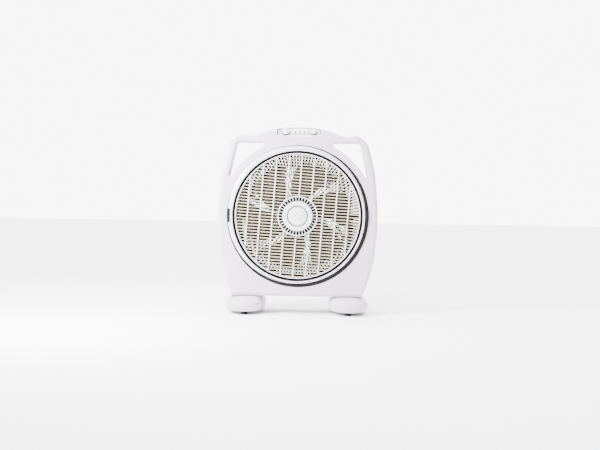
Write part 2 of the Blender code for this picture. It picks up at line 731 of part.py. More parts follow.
def controls():
    half_x, half_z = KEY_SIZE[0] / 2, KEY_SIZE[1] / 2
    slots = [rectangle(half_x + 0.5, half_z + 0.5, (x, CONTROL_ROW)) for x in KEY_X.values()]
    bores = [circle(3.6, 16, (x, CONTROL_ROW)) for x in (TIMER_X, LOUVER_SWITCH_X)]
    plate = prism("control_panel", [panel_outline(0.5), *slots, *bores], 0, PANEL_THICKNESS)
    panel_piece(plate, CABINET)
    knob("timer_knob", TIMER_X, 11.0, 9.0)
    knob("louver_knob", LOUVER_SWITCH_X, 9.0, 8.0)
    for name, x in KEY_X.items():
        key = prism(name, [rectangle(half_x, half_z)], -KEY_PROUD, 8)
        panel_piece(key, CABINET, x, CONTROL_ROW)
    panel_piece(prism("timer_body", [rectangle(11, 10)], 8.5, 24), DARK, TIMER_X, CONTROL_ROW)
    panel_piece(prism("speed_switch_body", [rectangle(23, 9)], 12, 25), DARK, 4, CONTROL_ROW)
    body = prism("louver_switch_body", [rectangle(8, 8)], 8.5, 20)
    panel_piece(body, DARK, LOUVER_SWITCH_X, CONTROL_ROW)


front_housing()
rear_housing()
handle_covers()
feet()
feet_fittings()
cabinet_fittings()
grilles()
louver()
impeller()
motor()
controls()
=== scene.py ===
"""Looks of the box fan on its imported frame: shells, louver, guards, controls, feet and materials.

Lengths are in millimetres and become metres when a mesh is made. Lights and camera are in metres.
The front faces -Y.
"""

import math

import bmesh
import bpy
from mathutils import Euler, Matrix, Vector
from mathutils.geometry import tessellate_polygon


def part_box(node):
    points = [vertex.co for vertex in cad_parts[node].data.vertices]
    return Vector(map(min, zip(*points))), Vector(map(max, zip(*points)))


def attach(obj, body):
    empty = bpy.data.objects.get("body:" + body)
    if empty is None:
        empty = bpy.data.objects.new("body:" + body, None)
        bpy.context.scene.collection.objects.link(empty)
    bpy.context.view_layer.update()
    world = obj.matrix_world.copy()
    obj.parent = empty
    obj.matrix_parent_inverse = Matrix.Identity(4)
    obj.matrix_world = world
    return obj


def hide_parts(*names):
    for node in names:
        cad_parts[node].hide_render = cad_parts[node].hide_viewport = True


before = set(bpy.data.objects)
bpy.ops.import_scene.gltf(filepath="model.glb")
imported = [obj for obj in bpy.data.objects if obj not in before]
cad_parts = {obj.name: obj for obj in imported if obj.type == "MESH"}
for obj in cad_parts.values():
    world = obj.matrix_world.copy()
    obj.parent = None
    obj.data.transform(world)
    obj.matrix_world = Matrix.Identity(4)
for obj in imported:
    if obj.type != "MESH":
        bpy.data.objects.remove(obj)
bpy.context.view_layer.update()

MM = 0.001


def node_mm(name):
    low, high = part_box(name)
    return low / MM, high / MM


# ---------------------------------------------------------------- sizes, from the frame and the design

SIDE = [(185, 50.6), (200.5, 95), (215.5, 154), (223, 225), (225, 290), (218, 379)]
SHOULDER = [(218, 379), (213, 407), (201, 458), (192, 481), (165, 503), (132, 500), (104, 509)]
CROWN = [(104, 509), (76, 518.5), (40, 525), (0, 527)]
HOLE_TOP_INNER = (97, 484)
HOLE_TOP_OUTER = (174, 484)
HOLE_TIP = (196, 387)
HOLE_ARC_RADIUS = 217.0
WALL = 3.0
SKIN_CLEARANCE = 0.1
HANDLE_SEAM = 0.6
OPENING_RADIUS = 198.0
REAR_OPENING_RADIUS = 182.0
FRONT_ROUND = 11.0
HOLE_ROUND = 3.0
REAR_ROUND = 12.0
BACK_PLATE = 8.0

FRONT_Y = node_mm("front_housing")[0].y
PARTING_Y = node_mm("front_housing")[1].y
BARREL_FRONT_Y, BARREL_REAR_Y = (corner.y for corner in node_mm("rear_housing"))
CENTRE_Z = (node_mm("grille_ring")[0].z + node_mm("grille_ring")[1].z) / 2
CENTRE = (0.0, CENTRE_Z)
AXIS = (0.0, 0.0, CENTRE_Z)
SIDE_SIGN = {"left": -1, "right": 1}

LOUVER_FRONT, LOUVER_BACK = (corner.y for corner in node_mm("louver_disc"))
LOUVER_TURN = math.radians(3.9)
SLAT_PITCH = 8.5
SLAT_COUNT = 41
SLAT_RISE = 2.0
SLAT_THICKNESS = 2.0
RIB_PITCH = 35.1
RIB_COUNT = 9
RIB_WIDTH = 3.4
HUB_RADIUS = 56.0
HUB_SLOTS = 36

FIN_COUNT = 120
RING_RADIUS = 188.6
SKIRT_RADIUS = 192.6
SKIRT_SHIFT = 4.7
# radius and shift of the ring's painted shadow round the opening
SHADOW_CRESCENT_RADIUS = 198.8
SHADOW_CRESCENT_SHIFT = 1.2
PANEL_LEAN = math.radians(-45)
PANEL_TURN = (PANEL_LEAN, 0, 0)
PANEL_FOOT = (0.0, FRONT_Y, 497.0)
PANEL_HALF_LENGTH = 61.0
PANEL_HEIGHT = 42.0
CONTROL_ROW = 20.0
TIMER_X = -36.0
LOUVER_SWITCH_X = 42.0
KEY_X = {"off": -14.0, "low": -2.0, "medium": 10.0, "high": 22.0}

BLADES = 6
BLADE_TIP = 152.0
BLADE_HUB = 38.0
BLADE_PHASE = 0.0
BLADE_SWEEP = math.radians(24)

FOOT_SQUARENESS = 0.74
# height, centre in x, half width in x, half length in y
FOOT_SECTIONS = [
    (8.3, 146.5, 40.0, 78.0),
    (11.0, 146.5, 50.0, 88.0),
    (17.0, 146.5, 55.5, 93.5),
    (26.0, 146.5, 57.5, 94.0),
    (34.0, 146.0, 56.0, 92.5),
    (41.0, 145.0, 51.0, 84.0),
    (47.0, 143.0, 46.0, 68.0),
    (50.3, 141.5, 43.5, 58.0),
]

FLOOR_REACH = 60000.0
FLOOR_BACK = 9000.0
# strength of the plain light from every direction
FRONT_LIGHT = 0.27
# world direction: where its bright part starts, where it is full, and its strength
BRIGHT_PARTS = {"Y": (0.75, 0.92, 8.0), "Z": (0.6, 0.9, 12.0)}
# place, diameter and power
LIGHTS = {"key_upper_left": ((-0.80, -0.58, 0.70), 0.3, 54.0)}
CAMERA_AZIMUTH = math.radians(1.25)
CAMERA_ROLL = math.radians(0.83)
CAMERA_DISTANCE = 2.5
CAMERA_HEIGHT = 0.332
CAMERA_AIM = Vector((0.0072, -0.06, 0.2522))
FIELD_WIDTH = 1.681
SENSOR_MM = 36.0


# ---------------------------------------------------------------- materials


class Shader:
    """A Principled material with helpers for its procedural nodes."""

    def __init__(self, name, roughness, metallic=0.0, specular=0.5, coat=0.0):
        self.material = bpy.data.materials.new(name)
        self.material.use_nodes = True
        self.tree = self.material.node_tree
        self.shader = self.tree.nodes["Principled BSDF"]
        self.shader.inputs["Roughness"].default_value = roughness
        self.shader.inputs["Metallic"].default_value = metallic
        self.shader.inputs["Specular IOR Level"].default_value = specular
        self.shader.inputs["Coat Weight"].default_value = coat
        self.place = self.node("ShaderNodeTexCoord").outputs["Object"]

    def node(self, kind, **values):
        made = self.tree.nodes.new(kind)
        for key, value in values.items():
            if key in made.inputs:
                made.inputs[key].default_value = value
            else:
                setattr(made, key, value)
        return made

    def link(self, source, target):
        self.tree.links.new(source, target)

    def noise(self, scale, detail=3.0, stretch=None):
        made = self.node("ShaderNodeTexNoise", Scale=scale, Detail=detail)
        if stretch:
            mapping = self.node("ShaderNodeMapping", Scale=stretch)
            self.link(self.place, mapping.inputs["Vector"])
            self.link(mapping.outputs["Vector"], made.inputs["Vector"])
        else:
            self.link(self.place, made.inputs["Vector"])
        return made.outputs["Fac"]

    def ramp(self, factor, stops):
        made = self.node("ShaderNodeValToRGB")
        elements = made.color_ramp.elements
        while len(elements) < len(stops):
            elements.new(0.5)
        for element, (position, colour) in zip(elements, stops):
            element.position = position
            element.color = (*colour, 1.0)
        self.link(factor, made.inputs["Fac"])
        return made.outputs["Color"]

    def colour(self, source):
        self.link(source, self.shader.inputs["Base Color"])

    def roughness(self, factor, low, high):
        made = self.node("ShaderNodeMapRange")
        made.inputs["To Min"].default_value = low
        made.inputs["To Max"].default_value = high
        self.link(factor, made.inputs["Value"])
        self.link(made.outputs["Result"], self.shader.inputs["Roughness"])

    def bump(self, factor, depth_mm, strength=1.0):
        made = self.node("ShaderNodeBump", Strength=strength, Distance=depth_mm * MM)
        self.link(factor, made.inputs["Height"])
        self.link(made.outputs["Normal"], self.shader.inputs["Normal"])


def shaded(colour, factor):
    return tuple(channel * factor for channel in colour)


def moulded(name, colour, roughness, spread=0.03, grain_mm=0.04, coat=0.0, specular=0.5):
    """Moulded plastic: faint cloudiness, a fine spark-eroded grain and uneven gloss."""
    made = Shader(name, roughness, specular=specular, coat=coat)
    cloud = made.noise(9.0, 4.0)
    made.colour(made.ramp(cloud, [(0.3, shaded(colour, 1 - spread)), (0.7, colour)]))
    made.roughness(made.noise(60.0), roughness - 0.06, roughness + 0.08)
    made.bump(made.noise(1400.0, 2.0), grain_mm)
    return made.material


def white_and_painted_depth_shade(name, face, depth, edge_y, roughness):
    """Louver plastic: cool white on the foremost ribs and rims, and painted shade, a darker warm cream, on
    the slats behind that depth.
    """
    made = Shader(name, roughness)
    split = made.node("ShaderNodeSeparateXYZ")
    made.link(made.place, split.inputs["Vector"])
    fade = made.node("ShaderNodeMapRange")
    fade.inputs["From Min"].default_value = (edge_y - 0.3) * MM
    fade.inputs["From Max"].default_value = (edge_y + 0.3) * MM
    made.link(split.outputs["Y"], fade.inputs["Value"])
    # painted shade: everything behind edge_y gets the darker warm cream in place of the white
    tone = made.ramp(fade.outputs["Result"], [(0.0, face), (1.0, depth)])
    cloud = made.ramp(made.noise(25.0), [(0.3, (0.93, 0.92, 0.9)), (0.7, (1.0, 1.0, 1.0))])
    mix = made.node("ShaderNodeMix", data_type="RGBA", blend_type="MULTIPLY")
    mix.inputs["Factor"].default_value = 1.0
    made.link(tone, mix.inputs["A"])
    made.link(cloud, mix.inputs["B"])
    made.colour(mix.outputs["Result"])
    made.bump(made.noise(1400.0, 2.0), 0.03)
    return made.material


def brushed(name, colour, roughness, stretch):
    """Metal with directional brushing and slight tarnish."""
    made = Shader(name, roughness, metallic=1.0)
    grain = made.noise(300.0, 4.0, stretch)
    made.colour(made.ramp(grain, [(0.3, shaded(colour, 0.82)), (0.7, colour)]))
    made.roughness(grain, roughness - 0.08, roughness + 0.12)
    made.bump(grain, 0.03)
    return made.material


def cast(name, colour):
    """Sand-cast or sprayed metal with a coarse skin."""
    made = Shader(name, 0.5, metallic=0.6)
    made.colour(made.ramp(made.noise(30.0, 5.0), [(0.3, shaded(colour, 0.8)), (0.7, colour)]))
    made.roughness(made.noise(120.0), 0.42, 0.62)
    made.bump(made.noise(700.0, 3.0), 0.12)
    return made.material


def rubber(name):
    made = Shader(name, 0.85, specular=0.3)
    made.colour(made.ramp(made.noise(80.0), [(0.3, (0.012, 0.012, 0.012)), (0.7, (0.03, 0.03, 0.03))]))
    made.bump(made.noise(900.0), 0.08)
    return made.material


WHITE = moulded("white_cabinet", (0.58, 0.515, 0.60), 0.38, coat=0.1)
WHITE_FOOT = moulded("white_foot", (0.58, 0.53, 0.58), 0.4, coat=0.1)
RING_WHITE = moulded("white_ring", (0.66, 0.64, 0.70), 0.30, coat=0.2)
HUB_WHITE = moulded("white_hub", (0.72, 0.69, 0.73), 0.28, coat=0.25)
KEY_WHITE = moulded("white_keys", (0.72, 0.68, 0.70), 0.32)
# painted shade on the louver: the second colour is the darker cream of the slats' shaded faces
LOUVER_WHITE_AND_SHADE = white_and_painted_depth_shade("louver_white_and_painted_shade", (0.66, 0.62, 0.68), (0.48, 0.42, 0.32), LOUVER_FRONT + 1.3, 0.42)
# black for real black parts, and also the painted shade in the ring gaps, behind the hub slots and round the
# controls
BLACK = moulded("black_plastic", (0.006, 0.005, 0.006), 0.5, spread=0.3, specular=0.2)
# painted shade: the guards are near black so that they read as the shaded inside of the cabinet
GUARD_SHADE_BLACK = moulded("guard_painted_shade", (0.006, 0.005, 0.004), 0.6, spread=0.3, specular=0.1)
# painted shade for the hub's groove
GROOVE_SHADE_GREY = moulded("painted_groove_shade", (0.22, 0.21, 0.23), 0.5, specular=0.3)
# painted shade: the blades get the dark brown they show in the shade behind the louver
BLADE = moulded("blade_painted_shade", (0.06, 0.045, 0.028), 0.45, spread=0.1, specular=0.2)
RUBBER = rubber("black_rubber")
STEEL = brushed("zinc_steel", (0.62, 0.62, 0.64), 0.35, (1.0, 8.0, 1.0))
CASING = cast("cast_casing", (0.30, 0.30, 0.32))
COPPER = brushed("enamelled_copper", (0.80, 0.42, 0.22), 0.35, (1.0, 1.0, 6.0))


# ---------------------------------------------------------------- outlines


def smooth(points, steps=10):
    """Catmull-Rom curve through the points, both ends included."""
    knots = [Vector(p) for p in points]
    knots = [2 * knots[0] - knots[1], *knots, 2 * knots[-1] - knots[-2]]
    curve = []
    for a, b, c, d in zip(knots, knots[1:], knots[2:], knots[3:]):
        for step in range(steps):
            t = step / steps
            cubic = 3 * b - a - 3 * c + d
            square = 2 * a - 5 * b + 4 * c - d
            curve.append(0.5 * (2 * b + (c - a) * t + square * t**2 + cubic * t**3))
    return [tuple(p) for p in curve] + [tuple(points[-1])]


def arc(radius, start, end, steps, centre=(0.0, 0.0)):
    angles = [start + (end - start) * i / steps for i in range(steps + 1)]
    return [(centre[0] + radius * math.cos(a), centre[1] + radius * math.sin(a)) for a in angles]


def circle(radius, sides, centre=(0.0, 0.0)):
    return arc(radius, 0, 2 * math.pi, sides, centre)[:-1]


def rounded(corners, steps=6):
    """Outline from (x, z, radius) corners; a corner of radius 0 stays sharp."""
    outline = []
    for i, (x, z, radius) in enumerate(corners):
        here = Vector((x, z))
        if radius == 0:
            outline.append((x, z))
            continue
        before = (Vector(corners[i - 1][:2]) - here).normalized()
        after = (Vector(corners[(i + 1) % len(corners)][:2]) - here).normalized()
        half = before.angle(after) / 2
        middle = here + (before + after).normalized() * radius / math.sin(half)
        first = here + before * radius / math.tan(half) - middle
        last = here + after * radius / math.tan(half) - middle
        sweep = -first.angle_signed(last)
        for step in range(steps + 1):
            c, s = math.cos(sweep * step / steps), math.sin(sweep * step / steps)
            outline.append((middle.x + first.x * c - first.y * s, middle.y + first.x * s + first.y * c))
    return outline


def inset(outline, distance):
    """Moves a counter-clockwise outline inwards, or outwards when the distance is negative."""
    moved = []
    for i, point in enumerate(outline):
        here = Vector(point)
        before = (here - Vector(outline[i - 1])).normalized()
        after = (Vector(outline[(i + 1) % len(outline)]) - here).normalized()
        inwards = Vector((-before.y, before.x)) + Vector((-after.y, after.x))
        moved.append(tuple(here + inwards * distance / max(0.5, 1 + before.dot(after))))
    return moved


def mirrored(outline):
    return [(-x, z) for x, z in reversed(outline)]


def both_halves(right_half):
    return right_half + mirrored(right_half)[1:]


def rectangle(half_x, half_z, centre=(0.0, 0.0), corner=0.0):
    x, z = centre
    signs = [(-1, -1), (1, -1), (1, 1), (-1, 1)]
    return rounded([(x + sx * half_x, z + sz * half_z, corner) for sx, sz in signs], 4)


TIP_ANGLE = math.asin((HOLE_TIP[1] - CENTRE_Z) / HOLE_ARC_RADIUS)
HEAD_ANGLE = math.acos(HOLE_TOP_INNER[0] / HOLE_ARC_RADIUS)
INNER_EDGE = arc(HOLE_ARC_RADIUS, TIP_ANGLE, HEAD_ANGLE, 24, CENTRE)
HOLE_CORNERS = [(*HOLE_TIP, 3.0), (*HOLE_TOP_OUTER, 8.0), (*HOLE_TOP_INNER, 5.0)]
OUTER_EDGE = rounded([(*INNER_EDGE[0], 0), *HOLE_CORNERS, (*INNER_EDGE[-1], 0)])[1:-1]
HANDLE_HOLE = OUTER_EDGE + INNER_EDGE[::-1]
SIDE_CURVE = smooth(SIDE)
SHOULDER_CURVE = smooth(SHOULDER)
CROWN_CURVE = smooth(CROWN)
CABINET_OUTLINE = inset(both_halves(SIDE_CURVE + SHOULDER_CURVE[1:] + CROWN_CURVE[1:]), SKIN_CLEARANCE)
BARREL_OUTLINE = inset(both_halves(SIDE_CURVE + INNER_EDGE + [HOLE_TOP_INNER] + CROWN_CURVE), SKIN_CLEARANCE)


# ---------------------------------------------------------------- mesh building


def add_skin(bm, rings, loop=False):
    """Quads between rings of (x, y, z) points; returns the rings' vertices."""
    made = [[bm.verts.new(p) for p in ring] for ring in rings]
    pairs = list(zip(made, made[1:])) + ([(made[-1], made[0])] if loop else [])
    for a, b in pairs:
        for i in range(len(a)):
            j = (i + 1) % len(a)
            bm.faces.new((a[i], a[j], b[j], b[i]))
    return made


def add_cap(bm, loops, plane=(0, 2)):
    """Fills a flat face; loops are rings of vertices, the first one outside."""
    corners = [v for loop in loops for v in loop]
    u, w = plane
    flat = [[Vector((v.co[u], v.co[w], 0)) for v in loop] for loop in loops]
    for triangle in tessellate_polygon(flat):
        bm.faces.new([corners[i] for i in triangle])


def add_prism(bm, loops, rings_at):
    """Plate whose outer loop follows (inset, y) steps; holes run straight through."""
    outer = [[(x, y, z) for x, z in inset(loops[0], d)] for d, y in rings_at]
    skins = [add_skin(bm, outer)]
    for hole in loops[1:]:
        skins.append(add_skin(bm, [[(x, y, z) for x, z in hole] for y in (rings_at[0][1], rings_at[-1][1])]))
    add_cap(bm, [skin[0] for skin in skins])
    add_cap(bm, [skin[-1] for skin in skins])


def add_turned(bm, profile, sides, closed=True):
    """Turns (radius, y) points about Y. Radius 0 makes a pole."""
    rings = []
    for radius, y in profile:
        if radius == 0:
            rings.append([bm.verts.new((0, y, 0))])
        else:
            rings.append([bm.verts.new((x, y, z)) for x, z in circle(radius, sides)])
    following = rings[1:] + (rings[:1] if closed else [])
    for a, b in zip(rings, following):
        for i in range(sides):
            j = (i + 1) % sides
            corners = [a[i % len(a)], a[j % len(a)], b[j % len(b)], b[i % len(b)]]
            face = [v for k, v in enumerate(corners) if v not in corners[:k]]
            if len(face) > 2:
                bm.faces.new(face)


def add_bar(bm, start, end, section):
    """Straight bar from start to end (x, z) whose section is (across, y) points."""
    a, b = Vector(start), Vector(end)
    along = (b - a).normalized()
    side = Vector((-along.y, along.x))
    rings = []
    for point in (a, b):
        rings.append([(point.x + side.x * u, y, point.y + side.y * u) for u, y in section])
    made = add_skin(bm, rings)
    bm.faces.new(made[0][::-1])
    bm.faces.new(made[1])


def finished(bm, name, surface, sharp=40.0, turn=None, at=(0.0, 0.0, 0.0)):
    """Object from the mesh, in metres, after an optional turn and move."""
    bmesh.ops.recalc_face_normals(bm, faces=bm.faces)
    matrix = Matrix.Translation(Vector(at) * MM)
    if turn:
        matrix = matrix @ Euler(turn).to_matrix().to_4x4()
    bmesh.ops.transform(bm, matrix=matrix @ Matrix.Scale(MM, 4), verts=bm.verts)
    mesh = bpy.data.meshes.new(name)
    bm.to_mesh(mesh)
    bm.free()
    mesh.shade_smooth()
    mesh.set_sharp_from_angle(angle=math.radians(sharp))
    mesh.materials.append(surface)
    made = bpy.data.objects.new(name, mesh)
    bpy.context.scene.collection.objects.link(made)
    return made


def stand_for(piece, body, slot, *nodes):
    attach(piece, body)
    if nodes:
        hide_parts(*nodes)
    return piece


def turned(name, profile, surface, sides=96, turn=None, at=(0.0, 0.0, 0.0), sharp=40.0):
    bm = bmesh.new()
    add_turned(bm, profile, sides)
    return finished(bm, name, surface, sharp, turn, at)


def apply_modifiers(piece):
    graph = bpy.context.evaluated_depsgraph_get()
    mesh = bpy.data.meshes.new_from_object(piece.evaluated_get(graph))
    piece.modifiers.clear()
    piece.data = mesh
    mesh.set_sharp_from_angle(angle=math.radians(35))


def cut_away(piece, cutter):
    """Cuts the cutter's shape out of the piece for good."""
    step = piece.modifiers.new("cut", "BOOLEAN")
    step.operation = "DIFFERENCE"
    step.object = cutter
    bpy.context.view_layer.update()
    apply_modifiers(piece)
    bpy.data.objects.remove(cutter)


def quarter(radius, steps):
    """(inset, depth) pairs of a quarter round, from the side wall to the face."""
    angles = [math.pi / 2 * i / steps for i in range(steps + 1)]
    return [(radius * (1 - math.cos(a)), radius * (1 - math.sin(a))) for a in angles]


# ---------------------------------------------------------------- cabinet


def straight_collar(hole, edge_round, inner_y):
    """Rings that line an opening of the front shell, with a rounded front edge."""
    path = [(inset(hole, -d), FRONT_Y + depth) for d, depth in quarter(edge_round, 4)[::-1]]
    wide = inset(hole, -WALL)
    return path + [(hole, PARTING_Y), (wide, PARTING_Y), (wide, inner_y)]


def pan(name, skin, collars):
    """Thin shell from its skin rings and the collars of its openings."""
    bm = bmesh.new()
    made = []
    for path in (skin, *collars):
        made.append(add_skin(bm, [[(x, y, z) for x, z in loop] for loop, y in path]))
    add_cap(bm, [made[0][-1]] + [rings[0] for rings in made[1:]])
    add_cap(bm, [made[0][0]] + [rings[-1] for rings in made[1:]])
    return finished(bm, name, WHITE, 30.0)


def panel_outline(margin, top_margin=0.0, steps=24):
    reach = PANEL_HALF_LENGTH - margin
    xs = [reach * (2 * i / steps - 1) for i in range(steps + 1)]
    low = [(x, margin + 6 * (x / PANEL_HALF_LENGTH) ** 2) for x in xs]
    top = PANEL_HEIGHT - margin - top_margin
    high = [(x, top - 9 * (x / PANEL_HALF_LENGTH) ** 2) for x in reversed(xs)]
    return low + high


def on_panel(x, up, depth=0.0):
    local = Vector((x, depth, up))
    local.rotate(Euler((PANEL_LEAN, 0, 0)))
    return tuple(Vector(PANEL_FOOT) + local)


def front_shell():
    inner_y = FRONT_Y + WALL
    skin = [
        (inset(CABINET_OUTLINE, FRONT_ROUND), inner_y),
        (inset(CABINET_OUTLINE, WALL + 1), inner_y + 5),
        (inset(CABINET_OUTLINE, WALL), PARTING_Y),
        (CABINET_OUTLINE, PARTING_Y),
    ]
    for d, depth in quarter(FRONT_ROUND, 7):
        skin.append((inset(CABINET_OUTLINE, d), FRONT_Y + depth))
    opening = circle(OPENING_RADIUS, 144, CENTRE)
    collars = [straight_collar(opening, 0.8, inner_y)]
    for hole in (HANDLE_HOLE, mirrored(HANDLE_HOLE)):
        collars.append(straight_collar(hole, HOLE_ROUND, inner_y))
    shell = pan("front_shell", skin, collars)
    bm = bmesh.new()
    add_prism(bm, [panel_outline(0)], [(0, -60), (0, WALL + 2)])
    cut_away(shell, finished(bm, "panel_cutter", WHITE, turn=PANEL_TURN, at=PANEL_FOOT))
    stand_for(shell, "cabinet", "cabinet_plastic", "front_housing")


def rear_shell():
    inner_y = BARREL_REAR_Y - BACK_PLATE
    lining = inset(BARREL_OUTLINE, WALL)
    skin = [
        (inset(BARREL_OUTLINE, WALL + 3), inner_y),
        (lining, BARREL_FRONT_Y),
        (BARREL_OUTLINE, BARREL_FRONT_Y),
        (BARREL_OUTLINE, BARREL_REAR_Y - 24),
    ]
    for d, depth in quarter(REAR_ROUND, 8):
        skin.append((inset(BARREL_OUTLINE, d), BARREL_REAR_Y - depth))
    bore = circle(OPENING_RADIUS, 144, CENTRE)
    duct = circle(OPENING_RADIUS + WALL, 144, CENTRE)
    mouth = circle(REAR_OPENING_RADIUS, 144, CENTRE)
    path = [(mouth, BARREL_REAR_Y), (mouth, inner_y), (bore, inner_y), (bore, BARREL_FRONT_Y)]
    shell = pan("rear_shell", skin, [path + [(duct, BARREL_FRONT_Y), (duct, inner_y)]])
    stand_for(shell, "cabinet", "cabinet_plastic", "rear_housing")


def handle_backs():
    """Rear halves of the handles, with a rounded rear edge."""
    front, back = (corner.y for corner in node_mm("handle_cover_right"))
    (low_x, low_z), (high_x, high_z) = SIDE[-1], CROWN[0]
    outer = [(low_x, low_z + HANDLE_SEAM), *SHOULDER_CURVE[1:-1], (high_x + HANDLE_SEAM, high_z)]
    inner = [(x + HANDLE_SEAM if x < CROWN[0][0] - 4 else x, z) for x, z in OUTER_EDGE]
    loop = outer + inner[::-1]
    steps = [(0, front)] + [(d, back - depth) for d, depth in quarter(4.0, 4)]
    for side, sign in SIDE_SIGN.items():
        bm = bmesh.new()
        add_prism(bm, [loop if sign > 0 else mirrored(loop)], steps)
        piece = finished(bm, f"handle_back_{side}", WHITE, 30.0)
        stand_for(piece, "cabinet", "cabinet_plastic", f"handle_cover_{side}")


def foot_ring(sign, height, centre_x, half_x, half_y, sides=72):
    ring = []
    for x, y in circle(1.0, sides):
        wide = math.copysign(abs(x) ** FOOT_SQUARENESS, x) * half_x
        deep = math.copysign(abs(y) ** FOOT_SQUARENESS, y) * half_y
        ring.append((sign * centre_x + wide, deep, height))
    return ring


def foot_profile(steps=5):
    """Foot sections, smoothed between the driving ones."""
    knots = [Vector(section) for section in FOOT_SECTIONS]
    knots = [2 * knots[0] - knots[1], *knots, 2 * knots[-1] - knots[-2]]
    made = []
    for a, b, c, d in zip(knots, knots[1:], knots[2:], knots[3:]):
        for step in range(steps):
            t = step / steps
            cubic = 3 * b - a - 3 * c + d
            square = 2 * a - 5 * b + 4 * c - d
            made.append(0.5 * (2 * b + (c - a) * t + square * t**2 + cubic * t**3))
    return made + [Vector(FOOT_SECTIONS[-1])]


def feet():
    low, high = node_mm("right_foot")
    for side, sign in SIDE_SIGN.items():
        bm = bmesh.new()
        rings = []
        for height, centre_x, half_x, half_y in foot_profile():
            half_x = min(half_x, high.x - centre_x)
            half_y = min(half_y, high.y)
            rings.append(foot_ring(sign, min(height, high.z), centre_x, half_x, half_y))
        made = add_skin(bm, rings)
        add_cap(bm, [made[0]], (0, 1))
        add_cap(bm, [made[-1]], (0, 1))
        piece = finished(bm, f"foot_{side}", WHITE_FOOT, 50.0)
        stand_for(piece, "cabinet", "cabinet_plastic", f"{side}_foot")
    for side in SIDE_SIGN:
        for end in ("front", "rear"):
            node = f"pad_{end}_{side}"
            low, high = node_mm(node)
            middle = (low + high) / 2
            dome = [(0, 0), (2.5, 0), (5.0, 0.5), (7.0, 1.5), (8.6, 2.9), (9.5, 4.6)]
            profile = [*dome, (9.5, 6.2), (9.1, 6.6), (9.1, 8), (0, 8)]
            at = (middle.x, middle.y, low.z)
            pad = turned(node + "_rubber", profile, RUBBER, 48, (math.radians(90), 0, 0), at)
            stand_for(pad, "cabinet", "rubber", node)


# ---------------------------------------------------------------- ring, louver and guards


def grille_ring():
    """Proud white ring, its skirt that leans to the upper left, and black bands of painted shade on both of
    its sides; the outer one is wider towards the lower right as the ring's painted shadow.
    """
    low, high = node_mm("grille_ring")
    f, b = low.y, high.y
    profile = [
        (182.6, b), (182.6, f + 1.2), (183.0, f + 0.4), (184.0, f), (186.4, f), (187.8, f + 0.4),
        (RING_RADIUS - 0.2, f + 1.4), (RING_RADIUS, f + 13), (186.4, f + 15), (186.4, b),
    ]  # fmt: skip
    ring = turned("front_ring", profile, RING_WHITE, 180, at=AXIS, sharp=50.0)
    stand_for(ring, "cabinet", "cabinet_plastic", "grille_ring")
    root = circle(RING_RADIUS + 0.2, 180)
    edge = leaning_circle(SKIRT_RADIUS, -SKIRT_SHIFT)
    loops = [(root, f + 3.0), (edge, f + 6.6), (edge, f + 7.6), (root, f + 7.6)]
    skirt = hoop("ring_skirt", loops, RING_WHITE)
    stand_for(skirt, "cabinet", "cabinet_plastic")
    # painted shade: a black band fills the gap between the ring and the opening
    gap = tube(RING_RADIUS + 0.3, OPENING_RADIUS - 0.1, FRONT_Y + 0.4, f + 15)
    gap_shade = turned("ring_gap_painted_shade", gap, BLACK, 180, at=AXIS)
    stand_for(gap_shade, "cabinet", "black_plastic")
    # painted shadow: a black band on the face round the opening, wider towards the lower right, where the
    # ring's shadow falls
    inner, outer = circle(197.4, 180), leaning_circle(SHADOW_CRESCENT_RADIUS, SHADOW_CRESCENT_SHIFT)
    loops = [(inner, FRONT_Y + 0.5), (inner, FRONT_Y - 0.3), (outer, FRONT_Y - 0.3), (outer, FRONT_Y + 0.5)]
    shadow_crescent = hoop("ring_gap_painted_shadow", loops, BLACK)
    stand_for(shadow_crescent, "cabinet", "black_plastic")
    # painted shade: a black lining in the gap between the louver and the ring
    lining = [(181.0, b), (181.0, f + 1.6), (182.5, f + 1.2)]
    lining += [(182.5, b + 0.15), (176.5, b + 0.15), (176.5, b - 0.4)]
    stand_for(turned("louver_gap_painted_shade", lining, BLACK, 180, at=AXIS), "cabinet", "black_plastic")


def leaning_circle(radius, shift):
    """Circle moved by the shift towards the lower right, or the upper left when it is negative."""
    step = shift / math.sqrt(2)
    return circle(radius, 180, (step, -step))


def hoop(name, loops, surface):
    """Closed band around the fan's axis through (loop, y) pairs."""
    bm = bmesh.new()
    add_skin(bm, [[(x, y, z) for x, z in loop] for loop, y in loops], loop=True)
    return finished(bm, name, surface, 40.0, at=AXIS)


def ring_clips():
    for side, facing in {"right": 0.0, "left": math.pi}.items():
        back = node_mm(f"ring_clip_{side}")[1].y
        front = FRONT_Y - 5.5
        half = math.radians(5.4)
        loop = arc(190.7, facing - half, facing + half, 14) + arc(197.2, facing + half, facing - half, 14)
        bm = bmesh.new()
        add_prism(bm, [loop], [(0, back), (0, front + 1.0), (0.4, front + 0.3), (1.0, front)])
        section = [(-0.35, front - 0.3), (0.35, front - 0.3), (0.35, front + 2), (-0.35, front + 2)]
        for i in range(-4, 5):
            angle = facing + half * i / 5.5
            add_bar(bm, *radial(angle, 192.0, 195.8), section)
        piece = finished(bm, f"clip_{side}", BLACK, 30.0, at=AXIS)
        stand_for(piece, "cabinet", "black_plastic", f"ring_clip_{side}")


def radial(angle, inner, outer):
    """Both ends of a radial line."""
    return [(r * math.cos(angle), r * math.sin(angle)) for r in (inner, outer)]


def slat_section():
    """Slat section as (along z, y) points: it rises towards the back and has a rounded front edge."""
    front, back = LOUVER_FRONT + 2.4, LOUVER_BACK - 0.4
    half = SLAT_THICKNESS / 2
    rise = SLAT_RISE / 2
    turns = (-1.57, -0.8, 0, 0.8, 1.57)
    nose = [(-rise + half * math.sin(a), front + 0.5 - half * math.cos(a)) for a in turns]
    return nose + [(rise + 0.5, back), (rise - 0.5, back)]


def tube(inner, outer, front, back):
    return [(inner, back), (inner, front), (outer, front), (outer, back)]


